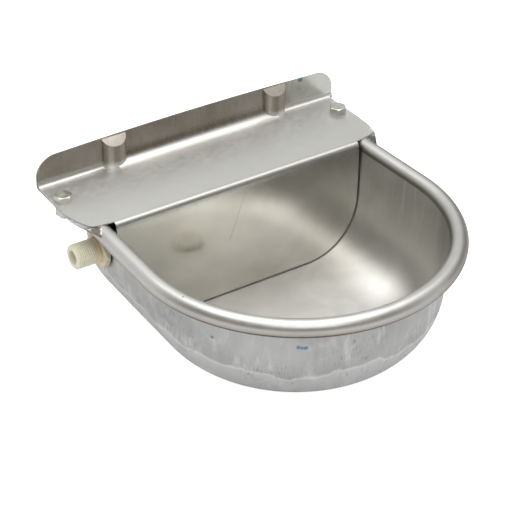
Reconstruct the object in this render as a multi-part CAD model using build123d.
"""Wall-mounted livestock drinking bowl with a float valve under its rear cover.

Units are millimetres.  X runs along the wall, -Y points away from the wall towards the
animal, and Z is up.  Every piece is drawn with the underside of the bowl's floor at
z = 0 and the wall at y = 0.  The last step moves everything down, so that the origin
ends up on the wall, on the bowl's centre plane, at the height of the two wall bolts.
"""
from build123d import *
from math import atan, cos, pi, radians, sin, sqrt, tan
import os

# ---------------------------------------------------------------- driving dimensions
# Drawn steel bowl
bowl_sheet = 1.2              # thickness of the drawn steel
bead_line_radius = 129.0      # centre line of the rolled bead round the front
bead_radius = 7.3             # outside radius of the rolled bead
bead_height = 92.2            # centre line of the bead above the underside
bead_curl = 320               # how far the bead is rolled, in degrees
bowl_centre_y = -157.6        # centre of the half-round front
side_taper = 1.95             # the sides close in towards the wall, degrees each
wall_draft = 3.7              # the walls lean in towards the floor, degrees
floor_radius = 53.6           # outside radius between wall and floor
rear_wall_y = -10.0           # outside of the bowl's rear wall at the bead's height
rear_corner_radius = 28.0     # plan radius of the rear corners

# Folded cover
cover_sheet = 1.0
cover_overhang = 15.0         # sides of the cover beyond the bead's centre line
cover_front_y = -83.7         # front of the bend down into the baffle
cover_straight_back = 36.7    # back from the front to where the sides curve in
cover_middle_in = 3.4         # a point on the curved run: in from the sides
cover_middle_back = 19.0      # and back from the front
cover_corner_in = 9.2         # front corner: in from the sides
cover_corner_back = 6.7       # and back from the front
cover_corner_radius = 6.0
upstand_height = 28.0         # above the top of the cover, at its middle
upstand_crown = 2.8           # the middle of its top edge stands above the ends
upstand_overhang = 0.8        # beyond the cover's sides, before its shift
upstand_shift = 2.4           # its middle lies to the right of the bowl's
upstand_corner = 17.0
end_fold_radius = 4.0         # inside radius of the fold outside the two pockets
middle_fold_radius = 12.0     # softer fold between them
front_bend_radius = 4.0       # outside radius of the bend into the baffle
baffle_slant = 3.2            # the baffle's foot stands forward of its top, degrees
baffle_clearance = 4.5        # from the bead's inner side to the edge of the bend
baffle_gap = 1.2              # between the baffle's edge and the bowl

# Flange, ears and the bowl's own wall plate
ear_margin = 0.5              # the ears stand out beyond the cover's sides
ear_front_back = 1.0          # the flat of an ear ends behind the cover's corner
ear_front_in = 4.5            # and this far in from the ear's side
ear_middle_in = 1.4           # a point on the curved run: in from the side
ear_middle_back = 10.0        # and back from where the flat ends
ear_curve_length = 24.0       # the curved run, back from where the flat ends
ear_blend = 12.0              # length over which an ear runs down into the bead
ear_blend_arc = (80, 25)      # where it meets the bead's section, degrees
bead_end_back = 11.7          # the bead ends under the cover, back from its front
wall_plate_height = 27.0      # above the flange, at its middle
wall_plate_margin = 0.6       # the bowl's wall plate beyond the upstand
wall_plate_corner = 16.0
wall_fold_radius = 3.0        # inside radius of the fold from flange to wall plate

# Pockets in the upstand, which clear the heads of the two wall bolts
wall_bolt_x = (-72.0, 86.0)
wall_bolt_height = 110.0      # above the underside of the floor
wall_hole_radius = 3.3        # clearance for M6
pocket_half_width = 11.0
pocket_depth = 7.0
pocket_shoulder = 20.0        # height of the pocket's front above the cover
pocket_top = 26.3             # height where its sloping roof meets the upstand

# M8 cover bolts
bolt_inset = 9.5              # in from the cover's sides
bolt_y = -29.5
left_head_turn = -17.0        # how each head happened to stop, degrees
right_head_turn = 0.0
bolt_radius = 4.0
bolt_length = 16.0
bolt_hole_radius = 4.5
head_flats = 13.0
head_height = 5.3
nut_height = 6.5
washer_radius = 8.0
washer_thickness = 1.6
spring_washer_radius = 6.7
spring_washer_thickness = 2.1
spring_washer_split = 1.4

# Inlet and float valve (G1/2 male thread on a moulded body)
inlet_y = -61.7
inlet_height = 67.2
inlet_radius = 10.4775
inlet_reach = 21.0            # standing out beyond the locknut
inlet_chamfer = 1.2
inlet_shank_radius = 10.2     # plain shank through the wall and the locknut
inlet_shank_reach = 0.5       # the shank shows this much beyond the locknut
inlet_bore_radius = 6.0
locknut_flats = 30.0
locknut_thickness = 5.5
outer_seal_thickness = 1.0
inner_seal_thickness = 1.5
seal_radius = 14.5
pad_radius = 18.0             # flat pressed into the bowl wall round the inlet hole
body_flange_radius = 16.0
body_flange_thickness = 4.0
barrel_radius = 9.5
barrel_length = 29.0
plunger_bore_radius = 7.0
nozzle_length = 8.0
nozzle_lip = 1.0
nozzle_lip_radius = 3.6
orifice_radius = 2.0
outlet_window = 5.5           # length of the outlet opening in the barrel's underside

# Lever, pin and plunger
pivot_offset = 22.0           # pivot from the inside face of the body flange
pivot_drop = 13.0             # pivot below the valve axis
nose_reach = 11.0             # pivot to the centre of the lever's nose
nose_radius = 2.0
nose_play = 0.25              # each side of the nose in the plunger's notch
lever_down = 10.0             # slope of the arm with the float down, degrees
lever_travel = 17.0           # degrees from float down to valve shut
lever_width = 6.6
lever_side_play = 0.2
lever_hub_radius = 5.0
arm_thickness = 3.0
arm_width = 12.0
arm_crank_start = 33.0
arm_crank_end = 42.0
arm_overhang = 12.0           # beyond the far float screw
ear_thickness = 3.4
pin_radius = 2.0
pin_head_radius = 3.4
pin_head_thickness = 1.4
clip_radius = 3.8
clip_thickness = 0.8
running_clearance = 0.06
seat_gap = 0.1                # seal to nozzle lip with the valve shut
seal_disc_radius = 4.6
seal_disc_thickness = 3.0
seal_disc_stand_out = 0.5

# Float
float_start = 46.0            # near end, from the pivot along the arm
float_length = 110.0
float_width = 38.0
float_height = 34.0
float_corner = 10.0
float_edge = 4.0
float_wall = 1.6
float_lid_thickness = 2.4
float_spigot = 3.0
float_screw_inset = 20.0      # from the float's near end
float_screw_pitch = 50.0
float_screw_radius = 2.0
float_screw_head_radius = 4.0
float_screw_head = 2.4
float_screw_depth = 9.0
float_boss_radius = 4.5

# Drain plug
drain_x = 3.2
drain_y = -185.6
drain_hole_radius = 9.0
drain_head_radius = 13.5
drain_head_thickness = 4.5
drain_head_edge = 1.0
drain_gasket_radius = 12.8
drain_gasket_thickness = 1.0
drain_recess = 0.2            # the neck stays above the underside of the floor

fit_gap = 0.05                # between pieces that are pushed together by hand

# ---------------------------------------------------------------- worked-out places
bead_top = bead_height + bead_radius
flange_top = bead_top
cover_top = flange_top + cover_sheet
cover_half_width = bead_line_radius + cover_overhang
cover_straight_y = cover_front_y + cover_straight_back
cover_middle = (cover_half_width - cover_middle_in, cover_front_y + cover_middle_back)
cover_corner = (cover_half_width - cover_corner_in, cover_front_y + cover_corner_back)
upstand_half_width = cover_half_width + upstand_overhang
upstand_left = upstand_shift - upstand_half_width
baffle_half_width = bead_line_radius - bead_radius - baffle_clearance
ear_half_width = cover_half_width + ear_margin
ear_front = (ear_half_width - ear_front_in, cover_corner[1] + ear_front_back)
ear_middle = (ear_half_width - ear_middle_in, ear_front[1] + ear_middle_back)
ear_straight_y = ear_front[1] + ear_curve_length
wall_plate_half_width = upstand_half_width + wall_plate_margin
bead_end_y = cover_front_y + bead_end_back
bolt_x = cover_half_width - bolt_inset
float_screw_at = (
    float_start + float_screw_inset, float_start + float_screw_inset + float_screw_pitch
)
arm_length = float_screw_at[-1] + arm_overhang
wall_half_width = bead_line_radius - bead_radius + bowl_sheet   # outside, at the bead
lean = radians(wall_draft)
fillet_centre = (
    wall_half_width - tan(lean) * (bead_height - floor_radius) - floor_radius / cos(lean)
)
overall_half = 200.0          # half length of cutting tools: beyond the whole object


def tapered_half_width(half_width, y):
    """Half width at y of a D outline whose front arc has this radius."""
    taper = radians(side_taper)
    return (half_width - (y - bowl_centre_y) * sin(taper)) / cos(taper)


# ---------------------------------------------------------------- helpers
def d_outline(half_width, rear_y, corner_radius):
    """Plan outline of the bowl: half-round front, sides closing in, rounded rear corners."""
    taper = radians(side_taper)
    side_x = half_width * cos(taper)
    side_y = bowl_centre_y + half_width * sin(taper)
    rear_x = tapered_half_width(half_width, rear_y)
    front = ThreePointArc(
        (-side_x, side_y), (0, bowl_centre_y - half_width), (side_x, side_y)
    )
    back = Polyline((side_x, side_y), (rear_x, rear_y), (-rear_x, rear_y), (-side_x, side_y))
    outline = make_face(front + back)
    corners = outline.vertices().sort_by(Axis.Y)[-2:]
    return fillet(corners, corner_radius)


def bowl_form(inset, top):
    """The bowl as a filled solid, its surface moved in by inset, reaching up to top."""
    radius = floor_radius - inset
    steps = 7
    levels = []
    for step in range(steps):
        angle = -pi / 2 + (pi / 2 - lean) * step / (steps - 1)
        half_width = fillet_centre + radius * cos(angle)
        levels.append((half_width, floor_radius + radius * sin(angle), inset * cos(angle)))
    rim_half_width = wall_half_width - inset / cos(lean)
    levels.append((rim_half_width, bead_height, inset))

    def section(half_width, height, corner_inset):
        setback = wall_half_width - half_width
        outline = d_outline(half_width, rear_wall_y - setback, rear_corner_radius - corner_inset)
        return Pos(0, 0, height) * outline

    sections = [section(*level) for level in levels]
    dish = loft(sections[:-1])
    walls = loft(sections[-2:], ruled=True)
    form = dish + walls
    if top > bead_height:
        form += extrude(sections[-1], amount=top - bead_height)
    return form


def along_x(start_x, end_x, radius, y=inlet_y, z=inlet_height):
    """Round bar along X between two places."""
    face = Plane(origin=(start_x, y, z), x_dir=(0, 1, 0), z_dir=(1, 0, 0)) * Circle(radius)
    return extrude(face, amount=end_x - start_x)


def along_y(start_y, end_y, radius, x, z):
    """Round bar along Y between two places."""
    face = Plane(origin=(x, start_y, z), x_dir=(1, 0, 0), z_dir=(0, 1, 0)) * Circle(radius)
    return extrude(face, amount=end_y - start_y)


def upright(bottom, top, radius, x=0.0, y=0.0):
    """Round bar along Z between two heights."""
    return extrude(Pos(x, y, bottom) * Circle(radius), amount=top - bottom)


def block(x_span, y_span, z_span):
    """Box between three pairs of limits."""
    spans = (x_span, y_span, z_span)
    size = [high - low for low, high in spans]
    middle = [(high + low) / 2 for low, high in spans]
    return Pos(*middle) * Box(*size)


def strip_face(points, thickness, bends):
    """Face of a bent strip: points run along one skin, the other skin lies to their left."""
    skin = [Vector(*point) for point in points]
    runs = [(b - a).normalized() for a, b in zip(skin, skin[1:])]
    normals = [Vector(-run.Y, run.X) for run in runs]
    other = [skin[0] + normals[0] * thickness]
    for corner, before, after in zip(skin[1:-1], normals, normals[1:]):
        other.append(corner + (before + after) * (thickness / (1 + before.dot(after))))
    other.append(skin[-1] + normals[-1] * thickness)
    face = make_face(Polyline(*skin, *reversed(other), close=True))
    for index, (radius, other_radius) in enumerate(bends, start=1):
        for point, size in ((skin[index], radius), (other[index], other_radius)):
            corner = face.vertices().sort_by_distance(point)[0]
            face = fillet(corner, size)
    return face


def hexagon(flats, height, both_ends=False):
    """Hexagon bar standing on z = 0 with the usual chamfer on its top corners."""
    corner = flats / sqrt(3)
    flat_ring = flats * 0.47
    drop = (corner - flat_ring) * tan(radians(30))
    foot = [(flat_ring, 0), (corner, drop)] if both_ends else [(corner, 0)]
    half = Polyline(
        (0, 0), *foot, (corner, height - drop), (flat_ring, height), (0, height), close=True
    )
    turned = revolve(Plane.XZ * make_face(half), axis=Axis.Z)
    prism = extrude(RegularPolygon(flats / 2, 6, major_radius=False), amount=height)
    return prism & turned


def sheet_profile(points, thickness, bends):
    """Bent sheet running right across the object; points are (y, z)."""
    face = Plane.YZ * strip_face(points, thickness, bends)
    return extrude(face, amount=overall_half, both=True)


def plate_outline(half_width, top, crown, corner_radius, fold_y):
    """What lies behind the fold keeps this front view: upright sides and a crowned top.

    What lies in front of the fold is left whole.
    """
    side_top = top - crown
    outline = make_face(
        Polyline(
            (half_width, side_top), (half_width, 0), (-half_width, 0), (-half_width, side_top)
        )
        + ThreePointArc((-half_width, side_top), (0, top), (half_width, side_top))
    )
    outline = fillet(outline.vertices().group_by(Axis.Y)[-1], corner_radius)
    upright_part = extrude(Plane.XZ * outline, amount=overall_half, both=True)
    in_front = block((-overall_half, overall_half), (-2 * overall_half, fold_y), (0, 2 * top))
    return Pos(upstand_shift, 0, 0) * upright_part + in_front


# ---------------------------------------------------------------- bowl
def bead_section():
    """The rolled bead, cut across: a curl that starts at the top of the wall."""
    ring = Circle(bead_radius) - Circle(bead_radius - bowl_sheet)
    open_angle = 360 - bead_curl
    far = 2 * bead_radius
    mouth = make_face(
        Polyline(
            (0, 0), (-far, 0),
            (-far * cos(radians(open_angle)), -far * sin(radians(open_angle))), close=True,
        )
    )
    return ring - mouth


def rolled_bead():
    """Bead round the front and along both sides to where it ends under the cover."""
    taper = radians(side_taper)
    centre_x = bead_line_radius * cos(taper)
    centre_y = bowl_centre_y + bead_line_radius * sin(taper)
    left_end = Plane(
        origin=(-centre_x, centre_y, bead_height),
        x_dir=(-cos(taper), sin(taper), 0),
        z_dir=(sin(taper), cos(taper), 0),
    )
    section = left_end * bead_section()
    front_axis = Axis((0, bowl_centre_y, 0), (0, 0, 1))
    front = revolve(section, axis=front_axis, revolution_arc=180 + 2 * side_taper)
    side_length = (bead_end_y - centre_y) / cos(taper)
    left = extrude(section, amount=side_length)
    return front + left + mirror(left, about=Plane.YZ)


def inlet_plane_x():
    """Outside face of the flat round the inlet hole, on the left wall."""
    at_bead = tapered_half_width(wall_half_width, inlet_y)
    return -(at_bead - tan(lean) * (bead_height - inlet_height))


def folded_flange():
    """Flat flange with its two ears, folded up at the back into the wall plate."""
    plate_top = flange_top + wall_plate_height
    folded = sheet_profile(
        [(-bowl_sheet, plate_top), (-bowl_sheet, flange_top), (ear_front[1], flange_top)],
        bowl_sheet,
        [(wall_fold_radius, wall_fold_radius + bowl_sheet)],
    )
    right_ear = ThreePointArc((ear_half_width, ear_straight_y), ear_middle, ear_front)
    left_ear = ThreePointArc(
        (-ear_front[0], ear_front[1]), (-ear_middle[0], ear_middle[1]),
        (-ear_half_width, ear_straight_y),
    )
    back_corners = Polyline(
        (-ear_half_width, ear_straight_y), (upstand_left - ear_margin, -wall_fold_radius),
        (-overall_half, -wall_fold_radius), (-overall_half, 1), (overall_half, 1),
        (overall_half, -wall_fold_radius), (ear_half_width, -wall_fold_radius),
        (ear_half_width, ear_straight_y),
    )
    front_line = Line(ear_front, (-ear_front[0], ear_front[1]))
    plan = make_face(back_corners + right_ear + front_line + left_ear)
    folded &= extrude(plan, amount=overall_half)
    return folded & plate_outline(
        wall_plate_half_width, plate_top, upstand_crown, wall_plate_corner, -wall_fold_radius
    )


def ear_runs():
    """Where the two ears run forward and down into the outside of the bead."""
    front_y = ear_front[1] - ear_blend
    near_x = tapered_half_width(bead_line_radius, ear_front[1])
    far_x = tapered_half_width(bead_line_radius, front_y)
    under = flange_top - bowl_sheet
    flat = [(near_x, flange_top), (ear_front[0], flange_top), (ear_front[0], under),
            (near_x, under)]
    over_bead, in_bead = (
        [(far_x + radius * cos(radians(angle)), bead_height + radius * sin(radians(angle)))
         for angle in ear_blend_arc]
        for radius in (bead_radius, bead_radius - bowl_sheet)
    )
    ends = [
        Pos(0, y, 0) * (Plane.XZ * make_face(Polyline(*points, close=True)))
        for y, points in ((ear_front[1], flat), (front_y, over_bead + in_bead[::-1]))
    ]
    right = loft(ends, ruled=True)
    return right + mirror(right, about=Plane.YZ)


def make_bowl():
    pad_x = inlet_plane_x()
    pad_back = pad_x + bowl_sheet
    far_out = pad_x - 2 * bead_radius
    far_in = pad_x + 2 * bead_radius
    outside = bowl_form(0.0, bead_height)
    outside -= along_x(far_out, pad_x, pad_radius)
    outside += along_x(pad_x, far_in, pad_radius)
    inside = bowl_form(bowl_sheet, cover_top)
    inside -= along_x(far_out, pad_back, pad_radius + bowl_sheet)
    inside += along_x(pad_back, far_in, pad_radius - bowl_sheet)

    rear_collar = extrude(
        Pos(0, 0, bead_height) * d_outline(wall_half_width, rear_wall_y, rear_corner_radius),
        amount=flange_top - bead_height,
    )
    rear_collar &= block(
        (-overall_half, overall_half), (bead_end_y, 0), (0, cover_top)
    )

    bowl = outside + rear_collar + folded_flange() - inside + rolled_bead() + ear_runs()
    bowl -= along_x(far_out, far_in, inlet_radius + 2 * fit_gap)
    bowl -= upright(-bowl_sheet, 2 * bowl_sheet, drain_hole_radius, drain_x, drain_y)
    for side in (-1, 1):
        bowl -= upright(0, cover_top, bolt_hole_radius, side * bolt_x, bolt_y)
    for x in wall_bolt_x:
        bowl -= along_y(-2 * bowl_sheet, bowl_sheet, wall_hole_radius, x, wall_bolt_height)
    return bowl


# ---------------------------------------------------------------- cover
def pocket(x, inset=0.0, back=0.0):
    """Pocket pressed out of the upstand: half an ellipse in plan, with a sloping roof.

    inset shrinks it to its inside, and back carries it on through the upstand.
    """
    front = -bowl_sheet - cover_sheet
    half_width = pocket_half_width - inset
    depth = pocket_depth - inset
    plan = Ellipse(half_width, depth) & Pos(0, -depth / 2) * Rectangle(2 * half_width, depth)
    if back:
        plan += Pos(0, back / 2) * Rectangle(2 * half_width, back)
    column = extrude(Pos(x, front, flange_top) * plan, amount=pocket_top + cover_sheet)
    shoulder = cover_top + pocket_shoulder - inset
    roof_top = cover_top + pocket_top - sqrt(2) * inset
    side = make_face(
        Polyline(
            (front + pocket_depth, flange_top), (front - pocket_depth, flange_top),
            (front - pocket_depth, shoulder - (roof_top - shoulder) * inset / depth),
            (front, roof_top), (front + pocket_depth, roof_top), close=True,
        )
    )
    return column & extrude(Plane.YZ * side, amount=overall_half, both=True)


def make_cover():
    front = -bowl_sheet - cover_sheet
    top = cover_top + upstand_height
    foot = bowl_sheet
    foot_y = cover_front_y - tan(radians(baffle_slant)) * (cover_top - foot)
    skin = [(front, top), (front, cover_top), (cover_front_y, cover_top), (foot_y, foot)]
    front_bend = (front_bend_radius, front_bend_radius - cover_sheet)
    ends, middle = (
        sheet_profile(skin, cover_sheet, [(radius, radius + cover_sheet), front_bend])
        for radius in (end_fold_radius, middle_fold_radius)
    )
    between = block(wall_bolt_x, (-overall_half, overall_half), (0, overall_half))
    folded = (ends - between) + (middle & between)

    right_side = ThreePointArc(
        (cover_half_width, cover_straight_y), cover_middle, cover_corner
    )
    left_side = ThreePointArc(
        (-cover_corner[0], cover_corner[1]), (-cover_middle[0], cover_middle[1]),
        (-cover_half_width, cover_straight_y),
    )
    bend_back = cover_front_y + front_bend_radius
    plan = make_face(
        right_side + left_side
        + Polyline(
            (-cover_half_width, cover_straight_y), (upstand_left, -wall_fold_radius),
            (-overall_half, -wall_fold_radius), (-overall_half, 1), (overall_half, 1),
            (overall_half, -wall_fold_radius), (cover_half_width, -wall_fold_radius),
            (cover_half_width, cover_straight_y),
        )
        + Polyline(
            cover_corner, (baffle_half_width, bend_back), (baffle_half_width, -overall_half),
            (-baffle_half_width, -overall_half), (-baffle_half_width, bend_back),
            (-cover_corner[0], cover_corner[1]),
        )
    )
    ear_corners = [
        plan.vertices().sort_by_distance((side * cover_corner[0], cover_corner[1]))[0]
        for side in (-1, 1)
    ]
    plan = fillet(ear_corners, cover_corner_radius)
    folded &= extrude(plan, amount=overall_half)
    folded &= plate_outline(
        upstand_half_width, top, upstand_crown, upstand_corner, -wall_fold_radius
    )

    below = block((-overall_half, overall_half), (-overall_half, overall_half),
                  (-overall_half, flange_top - front_bend_radius))
    room = bowl_form(bowl_sheet + baffle_gap, flange_top)
    cover = (folded - below) + (folded & below & room)

    corner_y = -bowl_sheet - wall_fold_radius
    corner_z = flange_top + wall_fold_radius
    fold_corner = block((-overall_half, overall_half), (corner_y, -bowl_sheet),
                        (flange_top, corner_z))
    fold_corner -= along_x(-overall_half, overall_half, wall_fold_radius, corner_y, corner_z)
    for x in wall_bolt_x:
        cover += pocket(x)
        cover -= pocket(x, inset=cover_sheet, back=2 * cover_sheet)
    cover -= fold_corner
    for side in (-1, 1):
        cover -= upright(flange_top, 2 * cover_top, bolt_hole_radius, side * bolt_x, bolt_y)
    return cover


# ---------------------------------------------------------------- cover fasteners
def make_bolt(side):
    turn = left_head_turn if side < 0 else right_head_turn
    head = Pos(0, 0, cover_top) * Rot(0, 0, turn) * hexagon(head_flats, head_height)
    shank = upright(cover_top - bolt_length, cover_top, bolt_radius)
    tip = shank.edges().sort_by(Axis.Z)[0]
    shank = chamfer(tip, bolt_radius * 0.2)
    return Pos(side * bolt_x, bolt_y, 0) * (head + shank)


def ring(bottom, thickness, outer_radius, inner_radius):
    """Flat ring on the Z axis."""
    return upright(bottom, bottom + thickness, outer_radius) - upright(
        bottom - thickness, bottom + 2 * thickness, inner_radius
    )


def make_washer(side):
    under_flange = flange_top - bowl_sheet
    washer = ring(under_flange - washer_thickness, washer_thickness, washer_radius,
                  bolt_radius + 4 * fit_gap)
    return Pos(side * bolt_x, bolt_y, 0) * washer


def make_spring_washer(side):
    top = flange_top - bowl_sheet - washer_thickness
    washer = ring(top - spring_washer_thickness, spring_washer_thickness,
                  spring_washer_radius, bolt_radius + 2 * fit_gap)
    split = block((0, 2 * spring_washer_radius),
                  (-spring_washer_split / 2, spring_washer_split / 2), (0, flange_top))
    return Pos(side * bolt_x, bolt_y, 0) * (washer - split)


def make_nut(side):
    bottom = flange_top - bowl_sheet - washer_thickness - spring_washer_thickness - nut_height
    nut = Pos(0, 0, bottom) * hexagon(head_flats, nut_height, both_ends=True)
    nut -= upright(0, flange_top, bolt_radius + fit_gap)
    return Pos(side * bolt_x, bolt_y, 0) * nut


# ---------------------------------------------------------------- inlet valve
wall_outside = inlet_plane_x()
wall_inside = wall_outside + bowl_sheet
nut_outer_face = wall_outside - outer_seal_thickness - locknut_thickness
inlet_tip = nut_outer_face - inlet_reach
flange_back = wall_inside + inner_seal_thickness
flange_face = flange_back + body_flange_thickness
barrel_end = flange_face + barrel_length
pivot_x = flange_face + pivot_offset
pivot_z = inlet_height - pivot_drop
nose_swing = radians(lever_travel / 2)
nozzle_tip = flange_face + nozzle_length
nose_x = pivot_x + nose_reach * sin(nose_swing)       # centre of the nose, float down
plunger_stroke = 2 * nose_reach * sin(nose_swing)
arm_frame = Location((pivot_x, inlet_y, pivot_z), (0, lever_down, 0))


def flat_ring(start_x, end_x, outer_radius, inner_radius):
    """Ring on the valve axis."""
    return along_x(start_x, end_x, outer_radius) - along_x(start_x - 1, end_x + 1, inner_radius)


def make_inlet_locknut():
    axis = Plane(origin=(nut_outer_face, inlet_y, inlet_height), x_dir=(0, 1, 0),
                 z_dir=(1, 0, 0))
    nut = axis * hexagon(locknut_flats, locknut_thickness, both_ends=True)
    return nut - along_x(inlet_tip, flange_face, inlet_radius + fit_gap)


def make_outer_seal():
    return flat_ring(wall_outside - outer_seal_thickness, wall_outside, seal_radius,
                     inlet_radius + 2 * fit_gap)


def make_inner_seal():
    return flat_ring(wall_inside, flange_back, seal_radius, inlet_radius + 2 * fit_gap)


def make_valve_body():
    shank_tip = nut_outer_face - inlet_shank_reach
    stub = along_x(inlet_tip, shank_tip, inlet_radius)
    stub = chamfer(stub.edges().sort_by(Axis.X)[0], inlet_chamfer)
    body = stub + along_x(shank_tip, flange_back, inlet_shank_radius)
    body += along_x(flange_back, flange_face, body_flange_radius)
    body += along_x(flange_face, barrel_end, barrel_radius)
    ear_inside = lever_width / 2 + lever_side_play
    ear_round = lever_hub_radius
    for side in (-1, 1):
        near = inlet_y + side * ear_inside
        far = near + side * ear_thickness
        span = (min(near, far), max(near, far))
        body += block((pivot_x - ear_round, pivot_x + ear_round), span,
                      (pivot_z, inlet_height - plunger_bore_radius / 2))
        body += along_y(span[0], span[1], ear_round, pivot_x, pivot_z)
    body -= along_x(inlet_tip - 1, nozzle_tip, inlet_bore_radius)
    body -= along_x(flange_face, barrel_end + 1, plunger_bore_radius)
    body -= block((nozzle_tip, nozzle_tip + outlet_window),
                  (inlet_y - barrel_radius, inlet_y + barrel_radius),
                  (0, inlet_height - nozzle_lip_radius))
    body -= block((pivot_x - ear_round, barrel_end + 1),
                  (inlet_y - ear_inside, inlet_y + ear_inside), (0, inlet_height))
    return body - along_y(inlet_y - barrel_radius, inlet_y + barrel_radius,
                          pin_radius + fit_gap, pivot_x, pivot_z)


def make_valve_nozzle():
    insert_end = nozzle_tip - nozzle_lip
    nozzle = along_x(flange_face, insert_end, plunger_bore_radius - fit_gap)
    nozzle += along_x(insert_end, nozzle_tip, nozzle_lip_radius)
    nozzle = chamfer(nozzle.edges().sort_by(Axis.X)[-1], nozzle_lip / 2)
    return nozzle - along_x(flange_face - 1, nozzle_tip + 1, orifice_radius)


seal_face = nozzle_tip + seat_gap + plunger_stroke
plunger_front = seal_face + seal_disc_stand_out


def make_plunger():
    end = barrel_end + nozzle_lip
    plunger = along_x(plunger_front, end, plunger_bore_radius - running_clearance)
    plunger -= along_x(plunger_front - 1, seal_face + seal_disc_thickness,
                       seal_disc_radius + fit_gap)
    notch_half = nose_radius + nose_play
    notch_top = pivot_z + nose_reach + nose_radius + 2 * nose_play
    return plunger - block((nose_x - notch_half, nose_x + notch_half),
                           (inlet_y - plunger_bore_radius, inlet_y + plunger_bore_radius),
                           (0, notch_top))


def make_plunger_seal():
    return along_x(seal_face, seal_face + seal_disc_thickness, seal_disc_radius)


# ---------------------------------------------------------------- lever and its pin
def make_float_lever():
    lever_half = lever_width / 2
    lean_back = 90 - lever_travel / 2 + lever_down
    arm_top = float_height / 2 + arm_thickness
    path = [
        (0, arm_thickness / 2), (arm_crank_start, arm_thickness / 2),
        (arm_crank_end, arm_top), (arm_length, arm_top),
    ]
    bend = (2 * arm_thickness, arm_thickness)
    arm = strip_face([(x, z) for x, z in reversed(path)], arm_thickness,
                     [bend, (bend[1], bend[0])])
    hub = Circle(lever_hub_radius)
    finger = Rot(0, 0, lean_back) * (
        Pos(nose_reach / 2, 0) * Rectangle(nose_reach, nose_radius * 1.2)
        + Pos(nose_reach, 0) * Circle(nose_radius)
    )
    lever = extrude(Plane.XZ * (hub + finger + arm), amount=lever_half, both=True)
    tongue_start = float_start
    tongue = extrude(
        Pos((tongue_start + arm_length) / 2, 0, arm_top - arm_thickness)
        * RectangleRounded(arm_length - tongue_start, arm_width, arm_width / 3),
        amount=arm_thickness,
    )
    lever += tongue
    lever -= along_y(-lever_width, lever_width, pin_radius + running_clearance, 0, 0)
    for x in float_screw_at:
        lever -= upright(0, arm_top + 1, float_screw_radius + 4 * fit_gap, x)
    return arm_frame * lever


pin_reach = lever_width / 2 + lever_side_play + ear_thickness
clip_start = inlet_y + pin_reach + 2 * fit_gap


def make_lever_pin():
    start = inlet_y - pin_reach
    end = clip_start + 3 * clip_thickness
    pin = along_y(start, end, pin_radius, pivot_x, pivot_z)
    pin += along_y(start - pin_head_thickness, start, pin_head_radius, pivot_x, pivot_z)
    groove = along_y(clip_start, clip_start + clip_thickness + fit_gap, pin_radius + 1,
                     pivot_x, pivot_z)
    core = along_y(clip_start - 1, end, pin_radius * 0.75, pivot_x, pivot_z)
    return pin - (groove - core)


def make_pin_clip():
    start = clip_start + fit_gap / 2
    clip = along_y(start, start + clip_thickness, clip_radius, pivot_x, pivot_z)
    clip -= along_y(start - 1, start + 2 * clip_thickness, pin_radius * 0.75 + fit_gap,
                    pivot_x, pivot_z)
    mouth = pin_radius * 0.6
    return clip - block((pivot_x - mouth, pivot_x + mouth),
                        (start - 1, start + 2 * clip_thickness),
                        (pivot_z - 2 * clip_radius, pivot_z))


# ---------------------------------------------------------------- float
def float_column(inset, bottom, top):
    """Rounded block on the float's plan, between two heights above the arm's line."""
    plan = RectangleRounded(float_length - 2 * inset, float_width - 2 * inset,
                            float_corner - inset)
    return extrude(Pos(float_start + float_length / 2, 0, bottom) * plan, amount=top - bottom)


lid_seat = float_height / 2 - float_lid_thickness


def make_float_shell():
    shell = float_column(0, -float_height / 2, lid_seat)
    shell = fillet(shell.faces().sort_by(Axis.Z)[0].edges(), float_edge)
    hollow = float_column(float_wall, -float_height / 2 + float_wall, lid_seat)
    hollow = fillet(hollow.faces().sort_by(Axis.Z)[0].edges(), float_edge - float_wall)
    return arm_frame * (shell - hollow)


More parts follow.
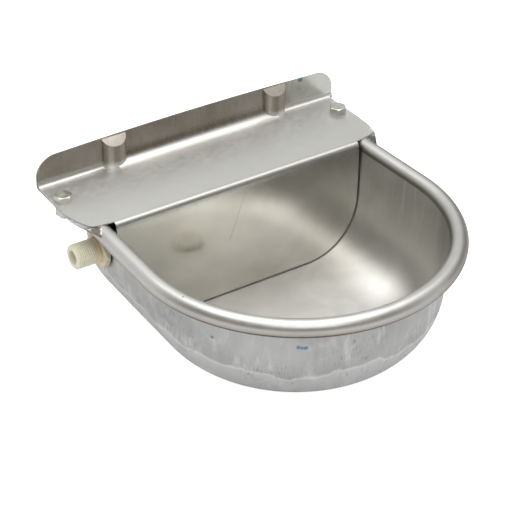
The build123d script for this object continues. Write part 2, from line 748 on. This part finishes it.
def make_float_lid():
    lid = float_column(0, lid_seat, float_height / 2)
    spigot_wall = float_wall + fit_gap
    lid += (float_column(spigot_wall, lid_seat - float_spigot, lid_seat)
            - float_column(spigot_wall + float_wall, lid_seat - 2 * float_spigot, lid_seat))
    for x in float_screw_at:
        bottom = float_height / 2 - float_screw_depth
        lid += upright(bottom - float_wall, lid_seat, float_boss_radius, x)
        lid -= upright(bottom - fit_gap, float_height, float_screw_radius + fit_gap, x)
    return arm_frame * lid


def make_float_screws():
    top = float_height / 2 + arm_thickness
    screws = []
    for x in float_screw_at:
        head = upright(top, top + float_screw_head, float_screw_head_radius, x)
        head = fillet(head.edges().sort_by(Axis.Z)[-1], float_screw_head / 2)
        shank = upright(float_height / 2 - float_screw_depth, top, float_screw_radius, x)
        screws.append(arm_frame * (head + shank))
    return Compound(children=screws)


# ---------------------------------------------------------------- drain
def make_drain_gasket():
    gasket = ring(bowl_sheet, drain_gasket_thickness, drain_gasket_radius,
                  drain_hole_radius)
    return Pos(drain_x, drain_y, 0) * gasket


def make_drain_plug():
    head_bottom = bowl_sheet + drain_gasket_thickness
    head = upright(head_bottom, head_bottom + drain_head_thickness, drain_head_radius)
    head = fillet(head.edges().sort_by(Axis.Z)[-1], drain_head_edge)
    neck = upright(drain_recess, head_bottom, drain_hole_radius - fit_gap)
    return Pos(drain_x, drain_y, 0) * (head + neck)


# ---------------------------------------------------------------- all the pieces
pieces = {
    "bowl": make_bowl(),
    "cover": make_cover(),
    "inlet_locknut": make_inlet_locknut(),
    "outer_inlet_seal": make_outer_seal(),
    "inner_inlet_seal": make_inner_seal(),
    "valve_body": make_valve_body(),
    "valve_nozzle": make_valve_nozzle(),
    "valve_plunger": make_plunger(),
    "plunger_seal": make_plunger_seal(),
    "float_lever": make_float_lever(),
    "lever_pin": make_lever_pin(),
    "pin_clip": make_pin_clip(),
    "float_shell": make_float_shell(),
    "float_lid": make_float_lid(),
    "float_screws": make_float_screws(),
    "drain_plug": make_drain_plug(),
    "drain_gasket": make_drain_gasket(),
}
for name, side in (("left", -1), ("right", 1)):
    pieces["cover_bolt_" + name] = make_bolt(side)
    pieces["cover_washer_" + name] = make_washer(side)
    pieces["spring_washer_" + name] = make_spring_washer(side)
    pieces["cover_nut_" + name] = make_nut(side)

os.makedirs("parts", exist_ok=True)
to_origin = Pos(0, 0, -wall_bolt_height)
for name, piece in pieces.items():
    export_step(to_origin * piece, f"parts/{name}.step")
